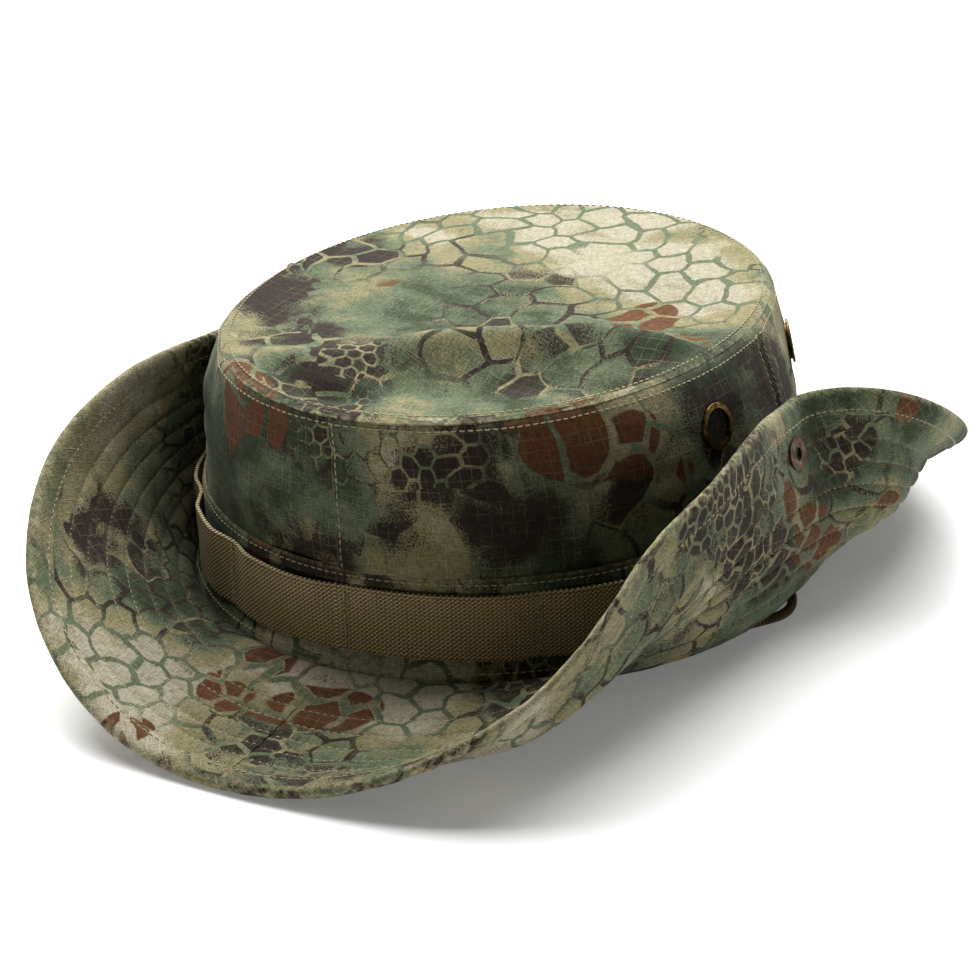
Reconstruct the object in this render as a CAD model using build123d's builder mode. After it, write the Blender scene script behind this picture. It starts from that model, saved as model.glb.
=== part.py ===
from build123d import *
from math import cos, pi, radians, sin, tan
import os

# Boonie hat, standing on its brim with both sides of the brim turned up and snapped
# to the crown. Millimetres, +Z up, the front of the hat faces -Y and the wearer's
# left is +X. The origin is on the ground, under the middle of the hat.

# ---- driving dimensions ----
BASE_HEIGHT = 9.56         # ground to the seam between crown and brim
CROWN_HEIGHT = 78.0        # that seam to the top panel
HALF_LENGTH = 100.0        # crown, centre to front, at the head opening
HALF_WIDTH = 86.5          # crown, centre to side, at the head opening
TOP_LENGTHENS = 2.8        # the top panel is this much longer than the opening, per end
TOP_NARROWS = 11.9         # and this much narrower, per side
TOP_LEANS = -3.4           # the top panel sits this far towards the front

BRIM_WIDTH = 62.0          # seam to raw edge, measured along the cloth
SEAM_LENGTH = 105.0        # half length of the crown and brim seam
SEAM_WIDTH = 92.0          # half width of the crown and brim seam
LOW_ANGLE = -7.0           # the brim droops this much at front and rear, degrees
HIGH_ANGLE = 92.0          # and stands up like this at the snaps
LEAST_CURL = 6.0           # change of slope from seam to edge at front and rear
MOST_CURL = 50.0           # the same at the snaps

LIFT_START = -6.0          # the brim is fully up between these angles
LIFT_END = 2.0
REAR_FALL = 24.0           # degrees behind them by which it has dropped halfway

CLOTH = 0.75               # one ply of ripstop
STIFFENER = 0.60           # interlining between the plies
PLY_GAP = 0.05             # keeps touching plies apart
BINDING_COVER = 8.0        # binding, edge to its stitching
BINDING_CLOTH = 0.75
BINDING_EDGE = 0.9         # binding outside the raw edge

BAND_TOP = 31.0            # all heights from here on are above the brim seam
BAND_FLARE_TOP = 6.0
WEBBING_BOTTOM = 6.5
WEBBING_WIDTH = 20.0
WEBBING_CLOTH = 1.4
SWEATBAND_HEIGHT = 34.0
SWEATBAND_CLOTH = 0.35
SEAM_TAPE_DEPTH = 8.0
SEAM_TAPE_CLOTH = 0.75
PANEL_GAP = 0.1            # degrees between each panel's edge and its seam
SIDE_SEAM_ANGLE = 9.0      # side seam, degrees behind the widest point

VENT_HEIGHT = 61.0
VENT_SPREAD = 22.0         # degrees each side of the side seam
VENT_RADIUS = 6.8
VENT_HOLE = 5.2
VENT_WALL = 0.4
VENT_FLANGE = 0.8
VENT_LIFT = 0.3            # the flat flange stands this far off the curved cloth
VENT_REACH = 2.1           # barrel, from the crown's outer face inwards
WASHER_RADIUS = 7.4
WASHER_THICKNESS = 0.6
WASHER_DEPTH = 2.0         # outer face of the crown to the back of the washer
SCREEN_LIFT = 0.1
SCREEN_THICKNESS = 0.3

SNAP_ANGLE = -2.0
SNAP_ALONG = 0.78          # fraction of the brim width, out from the seam
SNAP_RADIUS = 4.8
SNAP_LIFT = 0.4            # the flat socket stands this far off the curved cloth
CAP_LIFT = 0.05
CAP_THICKNESS = 0.8
SOCKET_BORE = 2.8
SOCKET_THICKNESS = 2.0
STUD_HEAD = 1.8
STUD_BASE = 0.8
STUD_LENGTH = 2.4
STUD_RING_THICKNESS = 0.7

STUD_ANGLE = -1.0
STUD_HEIGHT = 46.0         # above the brim seam
SNAP_PULL = 4.6            # the crown cloth is drawn out this far at the stud
TENT_SPREAD = 2.6          # foot of that small tent over its top
PRONG_RADIUS = 2.4
PRONG_WALL = 0.4

FLAP_FRONT = -60.0         # the turned-up sides swing between these two lines
FLAP_REAR = 46.0
FOLD_X = 94.5              # straight fold line beside the crown
FOLD_RISE = 8.0            # where the crown curves away, the fold climbs this high
FOLD_GAP = 0.4
FLAP_SPACE_TOP = 250.0     # well beyond the brim, up and out
SEAM_GAP = 0.1             # degrees left open at the brim's front and rear seams

CORD_DIAMETER = 3.0
TAB_WIDTH = 10.0
TAB_HEIGHT = 16.0
TAB_CLOTH = 3.2
LOCK_LENGTH = 20.0
LOCK_WIDTH = 12.0
LOCK_HEIGHT = 8.0
LOCK_CENTRE = (0.0, 10.0)
LOCK_CORNER = 4.0
LOCK_END_WALL = 2.0
SLOT_WIDTH = 7.4           # hole for the two runs of cord, across the lock
SLOT_HEIGHT = 3.6
PLUNGER_RADIUS = 2.9
PLUNGER_CLEARANCE = 0.1
PLUNGER_TRAVEL = 3.0
PLUNGER_INSIDE = 14.5
PLUNGER_STEP = 0.4         # left between the pressed button and the lock
BUTTON_RADIUS = 3.8
BUTTON_THICKNESS = 2.4
SPRING_WIRE = 0.25
SPRING_RADIUS = 1.9
SPRING_PITCH = 0.9
SPRING_TURNS = 4
SPRING_START = 7.6         # first turn, from the middle of the lock

os.makedirs("parts", exist_ok=True)


def save(builder, label):
    builder.part.label = label
    export_step(builder.part, f"parts/{label}.step")


# ---- crown surface ----
def half_length(height):
    return HALF_LENGTH + TOP_LENGTHENS * (height / CROWN_HEIGHT) ** 2


def half_width(height):
    return HALF_WIDTH - TOP_NARROWS * (height / CROWN_HEIGHT) ** 4


def lean(height):
    return TOP_LEANS * height / CROWN_HEIGHT


def crown_point(angle, height):
    """A point on the crown's outer surface, angle in degrees from the wearer's left."""
    turn = radians(angle)
    x = half_width(height) * cos(turn)
    y = half_length(height) * sin(turn) + lean(height)
    return Vector(x, y, BASE_HEIGHT + height)


def crown_plane(angle, height, out=0.0):
    """A plane lying on the crown, its normal pointing outwards."""
    along = crown_point(angle + 1, height) - crown_point(angle - 1, height)
    up = crown_point(angle, height + 1) - crown_point(angle, height - 1)
    here = Plane(origin=crown_point(angle, height), x_dir=along, z_dir=along.cross(up))
    return here.offset(out)


STATIONS = [CROWN_HEIGHT * step / 6 for step in range(7)]


def crown_body(out):
    """The solid inside a surface that lies `out` from the crown's outer face."""
    with BuildPart() as body:
        for height in STATIONS:
            with BuildSketch(Plane.XY.offset(BASE_HEIGHT + height)):
                with Locations((0, lean(height))):
                    Ellipse(half_width(height) + out, half_length(height) + out)
        loft()
    return body.part


def ring_slab(bottom, top):
    """A slab of space between two heights above the brim seam."""
    with BuildPart() as slab:
        with BuildSketch(Plane.XY.offset(BASE_HEIGHT + bottom)):
            Circle(2 * HALF_LENGTH)
        extrude(amount=top - bottom)
    return slab.part


def crown_skin(outer, inner, bottom, top):
    """A ring of cloth between two offsets of the crown surface and two heights."""
    with BuildPart() as skin:
        add(crown_body(outer))
        add(crown_body(inner), mode=Mode.SUBTRACT)
        add(ring_slab(bottom, top), mode=Mode.INTERSECT)
    return skin.part


def wedge(start, stop):
    """The space between two upright planes through the middle of the crown."""
    steps = 6
    reach = 3 * HALF_LENGTH
    angles = [radians(start + (stop - start) * step / steps) for step in range(steps + 1)]
    rim = [(reach * cos(angle), reach * sin(angle)) for angle in angles]
    with BuildPart() as space:
        with BuildSketch(Plane.XY):
            Polygon((0, 0), *rim, align=None)
        extrude(amount=2 * CROWN_HEIGHT)
    return space.part


# ---- brim surface ----
def lift(angle):
    """How far the brim is turned up at an angle from -90, front, to 90, rear: 0 to 1."""
    if angle < LIFT_START:
        return 0.5 + 0.5 * cos(pi * (LIFT_START - angle) / (LIFT_START + 90))
    if angle < LIFT_END:
        return 1.0
    back = angle - LIFT_END
    return (1 - (back / (90 - LIFT_END)) ** 4) ** 2 / (1 + (back / REAR_FALL) ** 2)


def profile_point(angle, along, above):
    """Out and up from the seam: along the width 0 to 1, above the middle of the cloth."""
    share = lift(angle)
    curl = LEAST_CURL + (MOST_CURL - LEAST_CURL) * share
    chord = LOW_ANGLE + (HIGH_ANGLE - LOW_ANGLE) * share
    first = radians(chord - curl / 2)
    last = first + radians(curl) * along
    radius = BRIM_WIDTH / radians(curl)
    out = radius * (sin(last) - sin(first)) - above * sin(last)
    up = radius * (cos(first) - cos(last)) + above * cos(last)
    return out, up


def profile_plane(angle):
    """The upright plane that holds the brim's profile at an angle."""
    turn = radians(angle)
    seam = Vector(SEAM_WIDTH * cos(turn), SEAM_LENGTH * sin(turn), BASE_HEIGHT)
    outward = Vector(cos(turn) / SEAM_WIDTH, sin(turn) / SEAM_LENGTH, 0)
    return Plane(origin=seam, x_dir=outward, z_dir=outward.cross(Vector(0, 0, 1)))


def brim_point(angle, along, above):
    """A point of the brim: angle round the crown, along its width, above its middle."""
    out, up = profile_point(angle, along, above)
    return profile_plane(angle).from_local_coords(Vector(out, up, 0))


def brim_plane(angle, along, above):
    """A plane lying on the brim, its normal pointing to the upper side of the cloth."""
    here = brim_point(angle, along, above)
    outward = brim_point(angle, along + 0.01, above) - here
    return Plane(origin=here, x_dir=outward, z_dir=brim_point(angle, along, above + 1) - here)


BRIM_STATIONS = [-90 + SEAM_GAP, *range(-84, 85, 6), 90 - SEAM_GAP]


def brim_layer(start, stop, bottom, thickness):
    """The left half of one layer of the brim, between two fractions of its width."""
    widths = (start, (start + stop) / 2, stop)
    with BuildPart() as layer:
        for angle in BRIM_STATIONS:
            lower = [profile_point(angle, along, bottom) for along in widths]
            upper = [profile_point(angle, along, bottom + thickness) for along in widths]
            with BuildSketch(profile_plane(angle)):
                with BuildLine():
                    ThreePointArc(*lower)
                    Line(lower[-1], upper[-1])
                    ThreePointArc(*reversed(upper))
                    Line(upper[0], lower[0])
                make_face()
        loft()
    return layer.part


def flap_space(grow):
    """The space on the wearer's left that holds the swinging side of the brim."""
    far = FLAP_SPACE_TOP
    near = FOLD_X - grow
    over = FOLD_X / 2
    low = BASE_HEIGHT + FOLD_RISE - grow
    outline = [(near, -far), (far, -far), (far, far), (over, far), (over, low), (near, low)]
    side = Plane(origin=(0, FLAP_REAR + grow, 0), x_dir=(1, 0, 0), z_dir=(0, -1, 0))
    with BuildPart() as space:
        with BuildSketch(side):
            Polygon(*outline, align=None)
        extrude(amount=FLAP_REAR - FLAP_FRONT + 2 * grow)
    return space.part


def save_pair(builder, label, ending=""):
    """Saves a piece of the wearer's left, and its mirror image for the right."""
    save(builder, f"{label}_left{ending}")
    with BuildPart() as right:
        mirror(builder.part, about=Plane.YZ)
    save(right, f"{label}_right{ending}")


VENTS = {
    "left_front": SIDE_SEAM_ANGLE - VENT_SPREAD,
    "left_rear": SIDE_SEAM_ANGLE + VENT_SPREAD,
    "right_front": 180 - SIDE_SEAM_ANGLE + VENT_SPREAD,
    "right_rear": 180 - SIDE_SEAM_ANGLE - VENT_SPREAD,
}
BRIM_TOP = PLY_GAP + STIFFENER / 2 + CLOTH

# ---- crown side panels: two at the front, one round the rear ----
side_cloth = crown_skin(0, -CLOTH, BAND_FLARE_TOP, CROWN_HEIGHT)
panel_spans = {
    "crown_side_front_left": (-90, SIDE_SEAM_ANGLE),
    "crown_side_rear": (SIDE_SEAM_ANGLE, 180 - SIDE_SEAM_ANGLE),
    "crown_side_front_right": (180 - SIDE_SEAM_ANGLE, 270),
}
for label, (start, stop) in panel_spans.items():
    with BuildPart() as crown_side:
        add(side_cloth)
        for stud_angle in (STUD_ANGLE, 180 - STUD_ANGLE):
            # the cloth is drawn out to the stud in a small tent
            with BuildSketch(crown_plane(stud_angle, STUD_HEIGHT, -CLOTH / 2)):
                Circle(TENT_SPREAD * SNAP_RADIUS)
            with BuildSketch(crown_plane(stud_angle, STUD_HEIGHT, SNAP_PULL)):
                Circle(SNAP_RADIUS)
            loft()
        add(wedge(start + PANEL_GAP, stop - PANEL_GAP), mode=Mode.INTERSECT)
        for vent_angle in VENTS.values():
            with BuildSketch(crown_plane(vent_angle, VENT_HEIGHT)):
                Circle(VENT_HOLE + VENT_WALL + 0.1)
            extrude(amount=VENT_REACH, both=True, mode=Mode.SUBTRACT)
    save(crown_side, label)

# ---- crown top panel ----
with BuildPart() as crown_top:
    with BuildSketch(Plane.XY.offset(BASE_HEIGHT + CROWN_HEIGHT + PLY_GAP)):
        with Locations((0, lean(CROWN_HEIGHT))):
            Ellipse(half_width(CROWN_HEIGHT), half_length(CROWN_HEIGHT))
    extrude(amount=CLOTH)
save(crown_top, "crown_top")

# ---- tape over the top seam, inside ----
with BuildPart() as top_seam_tape:
    tape_face = -CLOTH - PLY_GAP
    tape_bottom = CROWN_HEIGHT - SEAM_TAPE_DEPTH
    add(crown_skin(tape_face, tape_face - SEAM_TAPE_CLOTH, tape_bottom, CROWN_HEIGHT))
save(top_seam_tape, "top_seam_tape")

# ---- crown band and sweatband: both flare out at the foot to meet the brim seam ----
def flared_body(out, top):
    """The solid inside a ring of cloth that follows the crown and spreads at its foot."""
    foot = SEAM_LENGTH - HALF_LENGTH - CLOTH - 0.5
    stations = (
        (BRIM_TOP + PLY_GAP, foot),
        (BAND_FLARE_TOP, 0),
        ((BAND_FLARE_TOP + top) / 2, 0),
        (top, 0),
    )
    with BuildPart() as body:
        for height, spread in stations:
            with BuildSketch(Plane.XY.offset(BASE_HEIGHT + height)):
                with Locations((0, lean(height))):
                    Ellipse(half_width(height) + out + spread, half_length(height) + out + spread)
        loft(ruled=True)
    return body.part


with BuildPart() as sweatband:
    sweatband_face = -CLOTH - 2 * PLY_GAP
    add(flared_body(sweatband_face, SWEATBAND_HEIGHT))
    add(flared_body(sweatband_face - SWEATBAND_CLOTH, SWEATBAND_HEIGHT), mode=Mode.SUBTRACT)
save(sweatband, "sweatband")

with BuildPart() as crown_band:
    add(flared_body(2 * PLY_GAP + CLOTH, BAND_TOP))
    add(flared_body(2 * PLY_GAP, BAND_TOP), mode=Mode.SUBTRACT)
save(crown_band, "crown_band")

# ---- branch loop webbing round the band ----
with BuildPart() as webbing:
    add(flared_body(CLOTH + 3 * PLY_GAP + WEBBING_CLOTH, BAND_TOP))
    add(flared_body(CLOTH + 3 * PLY_GAP, BAND_TOP), mode=Mode.SUBTRACT)
    add(ring_slab(WEBBING_BOTTOM, WEBBING_BOTTOM + WEBBING_WIDTH), mode=Mode.INTERSECT)
save(webbing, "branch_loop_webbing")

# ---- brim: two plies and a stiffener, each in two halves with a side that swings ----
PLIES = {
    "brim_under": (-BRIM_TOP, CLOTH),
    "brim_stiffener": (-STIFFENER / 2, STIFFENER),
    "brim_upper": (STIFFENER / 2 + PLY_GAP, CLOTH),
}
left_space = flap_space(0)
left_gap = flap_space(FOLD_GAP)
for label, (bottom, thickness) in PLIES.items():
    layer = brim_layer(0, 1, bottom, thickness)
    with BuildPart() as fixed:
        add(layer)
        add(left_gap, mode=Mode.SUBTRACT)
    save_pair(fixed, label)
    with BuildPart() as left_flap:
        add(layer)
        add(left_space, mode=Mode.INTERSECT)
        with BuildSketch(brim_plane(SNAP_ANGLE, SNAP_ALONG, 0)):
            Circle(PRONG_RADIUS + 0.1)
        extrude(amount=2 * BRIM_TOP, both=True, mode=Mode.SUBTRACT)
    save_pair(left_flap, label, "_flap")

# ---- binding folded over the brim's edge ----
inner_face = BRIM_TOP + PLY_GAP
outer_face = inner_face + BINDING_CLOTH
cover = 1 - BINDING_COVER / BRIM_WIDTH
binding_stop = 1 + BINDING_EDGE / BRIM_WIDTH
hollow_start = cover - 0.02
hollow_stop = 1 + PLY_GAP / BRIM_WIDTH
with BuildPart() as edging:
    add(brim_layer(cover, binding_stop, -outer_face, 2 * outer_face))
    add(brim_layer(hollow_start, hollow_stop, -inner_face, 2 * inner_face), mode=Mode.SUBTRACT)
with BuildPart() as fixed_binding:
    add(edging.part)
    add(left_gap, mode=Mode.SUBTRACT)
save_pair(fixed_binding, "brim_binding")
with BuildPart() as flap_binding:
    add(edging.part)
    add(left_space, mode=Mode.INTERSECT)
save_pair(flap_binding, "brim_binding", "_flap")

# ---- screened vents: ring, washer behind the cloth, and screen ----
for place, vent_angle in VENTS.items():
    with BuildPart() as vent_ring:
        with BuildSketch(crown_plane(vent_angle, VENT_HEIGHT, VENT_LIFT)):
            Circle(VENT_RADIUS)
            Circle(VENT_HOLE, mode=Mode.SUBTRACT)
        extrude(amount=VENT_FLANGE)
        front_edges = vent_ring.edges().filter_by(GeomType.CIRCLE).group_by(SortBy.RADIUS)[-1]
        fillet(front_edges, radius=VENT_FLANGE / 3)
        with BuildSketch(crown_plane(vent_angle, VENT_HEIGHT, -VENT_REACH)):
            Circle(VENT_HOLE + VENT_WALL)
            Circle(VENT_HOLE, mode=Mode.SUBTRACT)
        extrude(amount=VENT_REACH + VENT_LIFT + VENT_FLANGE / 4)
    save(vent_ring, f"vent_ring_{place}")
    with BuildPart() as vent_washer:
        with BuildSketch(crown_plane(vent_angle, VENT_HEIGHT, -WASHER_DEPTH)):
            Circle(WASHER_RADIUS)
            Circle(VENT_HOLE + VENT_WALL + 0.02, mode=Mode.SUBTRACT)
        extrude(amount=WASHER_THICKNESS)
    save(vent_washer, f"vent_washer_{place}")
    with BuildPart() as vent_screen:
        with BuildSketch(crown_plane(vent_angle, VENT_HEIGHT, SCREEN_LIFT)):
            Circle(VENT_HOLE - 0.02)
        extrude(amount=SCREEN_THICKNESS)
    save(vent_screen, f"vent_screen_{place}")

# ---- press studs: cap ring and socket on the brim, stud and its ring on the crown ----
cap_face = -BRIM_TOP - CAP_LIFT
with BuildPart() as snap_cap:
    with BuildSketch(brim_plane(SNAP_ANGLE, SNAP_ALONG, cap_face)):
        Circle(SNAP_RADIUS)
        Circle(PRONG_RADIUS - PRONG_WALL, mode=Mode.SUBTRACT)
    extrude(amount=-CAP_THICKNESS)
    with BuildSketch(brim_plane(SNAP_ANGLE, SNAP_ALONG, cap_face - CAP_THICKNESS / 4)):
        Circle(PRONG_RADIUS)
        Circle(PRONG_RADIUS - PRONG_WALL, mode=Mode.SUBTRACT)
    extrude(amount=2 * BRIM_TOP + CAP_LIFT + CAP_THICKNESS / 4)
save_pair(snap_cap, "snap_cap")

with BuildPart() as snap_socket:
    with BuildSketch(brim_plane(SNAP_ANGLE, SNAP_ALONG, BRIM_TOP + SNAP_LIFT)):
        Circle(SNAP_RADIUS)
        Circle(SOCKET_BORE, mode=Mode.SUBTRACT)
    extrude(amount=SOCKET_THICKNESS)
    socket_edges = snap_socket.edges().filter_by(GeomType.CIRCLE)
    fillet(socket_edges.group_by(SortBy.RADIUS)[-1], radius=0.5)
save_pair(snap_socket, "snap_socket")

with BuildPart() as snap_stud:
    with BuildSketch(crown_plane(STUD_ANGLE, STUD_HEIGHT, SNAP_PULL + 0.02)):
        Circle(SNAP_RADIUS - 0.3)
    extrude(amount=STUD_BASE)
    with BuildSketch(crown_plane(STUD_ANGLE, STUD_HEIGHT, SNAP_PULL + STUD_BASE - 0.1)):
        Circle(STUD_HEAD)
    extrude(amount=STUD_LENGTH)
    stud_edges = snap_stud.edges().filter_by(GeomType.CIRCLE)
    fillet(stud_edges.group_by(SortBy.RADIUS)[0], radius=0.4)
save_pair(snap_stud, "snap_stud")

with BuildPart() as stud_ring:
    with BuildSketch(crown_plane(STUD_ANGLE, STUD_HEIGHT, -CLOTH - 0.15)):
        Circle(SNAP_RADIUS)
        Circle(PRONG_RADIUS - PRONG_WALL, mode=Mode.SUBTRACT)
    extrude(amount=-STUD_RING_THICKNESS)
save_pair(stud_ring, "stud_ring")

# ---- chin cord: from a tab inside the left of the crown, through the lock, to the right ----
CORD_ROUTE = [
    (79.6, 20, 27),
    (79.9, 20.6, 14),
    (88.5, 17, 3),
    (92.5, 6, 1.6),
    (89, -7, 1.6),
    (83, -20, 1.6),
    (73, -33, 1.6),
    (58, -32, 1.6),
    (49, -16, 1.6),
    (48, 7, 1.6),
    (38, 29, 1.6),
    (20, 41, 1.6),
    (2, 30, 4),
    (1.9, -8, 4),
    (10, -26, 1.6),
    (26, -40, 1.6),
    (34, -58, 1.6),
    (22, -76, 1.6),
    (0, -84, 1.6),
    (-22, -77, 1.6),
    (-33, -60, 1.6),
    (-28, -42, 1.6),
    (-12, -27, 1.6),
    (-1.9, -8, 4),
    (-2.1, 30, 4),
    (-21, 43, 1.6),
    (-41, 36, 1.6),
    (-48, 17, 1.6),
    (-50, -4, 1.6),
    (-57, -23, 1.6),
    (-72, -30, 1.6),
    (-83, -17, 1.6),
    (-85, 0, 3),
    (-81, 10.5, 13),
    (-80.8, 11, 25),
]


def cord_radii(route):
    """A wide arc for each corner of the route that leaves room for its neighbours'."""
    radii = []
    for before, here, after in zip(route, route[1:], route[2:]):
        inward = Vector(*here) - Vector(*before)
        onward = Vector(*after) - Vector(*here)
        half_turn = radians(inward.get_angle(onward)) / 2
        radii.append(0.45 * min(inward.length, onward.length) / tan(half_turn))
    return radii


radii = cord_radii(CORD_ROUTE)
with BuildPart() as chin_cord:
    with BuildLine() as cord_path:
        FilletPolyline(*CORD_ROUTE, radius=radii)
    with BuildSketch(Plane(origin=cord_path.line @ 0, z_dir=cord_path.line % 0)):
        Circle(CORD_DIAMETER / 2)
    sweep()
save(chin_cord, "chin_cord")
cord_length = sum(edge.length for edge in cord_path.edges())
cord_section = pi * CORD_DIAMETER**2 / 4
print("cord radii", [round(radius, 1) for radius in radii])
print("cord length", round(cord_length, 1))
print("cord volume over section times length", chin_cord.part.volume / cord_section / cord_length)

# ---- cloth tabs that hold the cord's ends inside the crown ----
for label, end in (("cord_tab_left", CORD_ROUTE[0]), ("cord_tab_right", CORD_ROUTE[-1])):
    with BuildPart() as cord_tab:
        with BuildSketch(Plane.XY.offset(end[2])):
            with Locations((end[0], end[1])):
                Rectangle(TAB_CLOTH, TAB_WIDTH)
        extrude(amount=TAB_HEIGHT)
        fillet(cord_tab.edges().filter_by(Axis.Z), radius=1)
    save(cord_tab, label)

# ---- cord lock: body, sprung plunger and spring ----
lock_x, lock_y = LOCK_CENTRE
lock_middle = LOCK_HEIGHT / 2


def lock_end(out):
    """The upright plane across the lock's plunger end, moved outwards."""
    return Plane(origin=(lock_x + LOCK_LENGTH / 2 + out, lock_y, lock_middle), z_dir=(1, 0, 0))


def lock_cross(along):
    """The upright plane along the lock, in which the cord's slot is drawn."""
    return Plane(origin=(lock_x + along, lock_y, lock_middle), x_dir=(1, 0, 0), z_dir=(0, -1, 0))


with BuildPart() as lock_body:
    with BuildSketch(Plane.XY):
        with Locations(LOCK_CENTRE):
            RectangleRounded(LOCK_LENGTH, LOCK_WIDTH, LOCK_CORNER)
    extrude(amount=LOCK_HEIGHT)
    rims = lock_body.edges().group_by(Axis.Z)
    fillet(rims[0] + rims[-1], radius=1)
    with BuildSketch(lock_end(0)):
        Circle(PLUNGER_RADIUS + PLUNGER_CLEARANCE)
    extrude(amount=LOCK_END_WALL - LOCK_LENGTH, mode=Mode.SUBTRACT)
    with BuildSketch(lock_cross(0)):
        SlotOverall(SLOT_WIDTH, SLOT_HEIGHT)
    extrude(amount=LOCK_WIDTH, both=True, mode=Mode.SUBTRACT)
save(lock_body, "cord_lock_body")

with BuildPart() as lock_plunger:
    with BuildSketch(lock_end(-PLUNGER_INSIDE)):
        Circle(PLUNGER_RADIUS)
    extrude(amount=PLUNGER_INSIDE + PLUNGER_TRAVEL + PLUNGER_STEP)
    with BuildSketch(lock_end(PLUNGER_TRAVEL + PLUNGER_STEP)):
        Circle(BUTTON_RADIUS)
    extrude(amount=BUTTON_THICKNESS)
    fillet(lock_plunger.faces().sort_by(Axis.X)[-1].edges(), radius=0.8)
    with BuildSketch(lock_cross(PLUNGER_TRAVEL / 2)):
        SlotOverall(SLOT_WIDTH + PLUNGER_TRAVEL, SLOT_HEIGHT)
    extrude(amount=LOCK_WIDTH, both=True, mode=Mode.SUBTRACT)
save(lock_plunger, "cord_lock_plunger")

with BuildPart() as lock_spring:
    for turn in range(SPRING_TURNS):
        with BuildSketch(lock_cross(SPRING_PITCH * turn - SPRING_START)):
            with Locations((0, SPRING_RADIUS)):
                Circle(SPRING_WIRE)
        revolve(axis=Axis((lock_x, lock_y, lock_middle), (1, 0, 0)))
save(lock_spring, "cord_lock_spring")
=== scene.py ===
import math
import bpy
import numpy as np
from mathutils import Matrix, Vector


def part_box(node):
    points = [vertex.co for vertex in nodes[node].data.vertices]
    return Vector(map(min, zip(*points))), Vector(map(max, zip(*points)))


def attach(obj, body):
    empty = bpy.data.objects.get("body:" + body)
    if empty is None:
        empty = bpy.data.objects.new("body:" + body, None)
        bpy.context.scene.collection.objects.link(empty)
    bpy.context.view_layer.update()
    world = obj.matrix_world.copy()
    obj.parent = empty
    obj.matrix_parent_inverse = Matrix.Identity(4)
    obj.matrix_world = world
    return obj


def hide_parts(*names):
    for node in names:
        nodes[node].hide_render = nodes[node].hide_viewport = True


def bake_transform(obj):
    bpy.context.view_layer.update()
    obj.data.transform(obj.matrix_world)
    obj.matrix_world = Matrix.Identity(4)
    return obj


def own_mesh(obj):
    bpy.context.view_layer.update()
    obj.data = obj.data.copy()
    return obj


# A boonie hat in soft studio light. Lengths in the surface formulas are millimetres, as in
# the CAD source, and become metres when a mesh is made. Angles t are degrees round the hat,
# counter-clockwise from the wearer's left, so -90 is the front and 90 the rear.

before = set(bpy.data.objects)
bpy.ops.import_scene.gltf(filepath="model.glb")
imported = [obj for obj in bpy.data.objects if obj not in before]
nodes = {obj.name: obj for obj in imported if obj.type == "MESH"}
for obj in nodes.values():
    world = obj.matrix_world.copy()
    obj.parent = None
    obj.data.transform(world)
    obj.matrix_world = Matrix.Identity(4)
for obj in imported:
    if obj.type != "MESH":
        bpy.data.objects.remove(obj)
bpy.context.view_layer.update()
MM = 0.001

# ---- camera ----
AZIMUTH, ELEVATION = math.radians(27.7), math.radians(22.5)
back = Vector((
    math.sin(AZIMUTH) * math.cos(ELEVATION),
    -math.cos(AZIMUTH) * math.cos(ELEVATION),
    math.sin(ELEVATION),
))
right = Vector((math.cos(AZIMUTH), math.sin(AZIMUTH), 0))
AIM_HEIGHT, AIM_LEFT, AIM_DOWN = 0.05456, 0.0051, 0.0262
aim = Vector((0, 0, AIM_HEIGHT)) - AIM_LEFT * right - AIM_DOWN * back.cross(right)
camera = bpy.data.objects.new("camera", bpy.data.cameras.new("camera"))
camera.location = aim + back
camera.rotation_mode = "QUATERNION"
camera.rotation_quaternion = (-back).to_track_quat("-Z", "Y")
camera.data.lens = 121.6
camera.data.sensor_width = 36
bpy.context.scene.collection.objects.link(camera)
bpy.context.scene.camera = camera

# ---- dimensions shared with the CAD ----
CROWN_HEIGHT = 78.0
CROWN_HALF_WIDTH, CROWN_HALF_LENGTH = 86.5, 100.0  # at the foot
CROWN_NARROWS, CROWN_LENGTHENS, CROWN_LEANS = 11.9, 2.8, 3.4  # towards the top
SEAM_HALF_WIDTH, SEAM_HALF_LENGTH = 92.0, 105.0  # the brim's inner seam
SEAM_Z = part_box("crown_top")[0].z / MM - CROWN_HEIGHT - 0.05
REST_Z, REST_SOFTNESS = 2.0, 0.4  # the brim's middle comes no lower: it lies on the floor
BRIM_WIDTH = 62.0
FLAT_CHORD, FOLDED_CHORD = -7.0, 92.0  # degrees from level, from the brim's seam to its edge
FLAT_CURL, FOLDED_CURL = 6.0, 50.0  # degrees that the cloth turns on the way
SIDE_SEAM = 9.0  # angle of the seams between the front and rear panels
BAND_FOOT, BAND_TOP = 0.3, 31.2
TOP_HALF_WIDTH, TOP_HALF_LENGTH, TOP_HEIGHT = 74.6, 102.8, 78.2
TOP_RADIUS = 88.0  # between the two, for distances from the top's edge
CROWN_CLOTH, BRIM_CLOTH = 0.6, 0.45  # thickness
STUD_ANGLE, STUD_HEIGHT = -1.0, 46.0
VENT_HEIGHT = 61.0
VENT_ANGLES = {"left_front": -13.0, "left_rear": 31.0, "right_front": 193.0, "right_rear": 149.0}


# ---- numbers ----
def ease(x, start, stop):
    """0 before start, 1 after stop, smooth between; start may lie above stop."""
    u = np.clip((np.asarray(x, float) - start) / (stop - start), 0, 1)
    return u * u * (3 - 2 * u)


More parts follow.
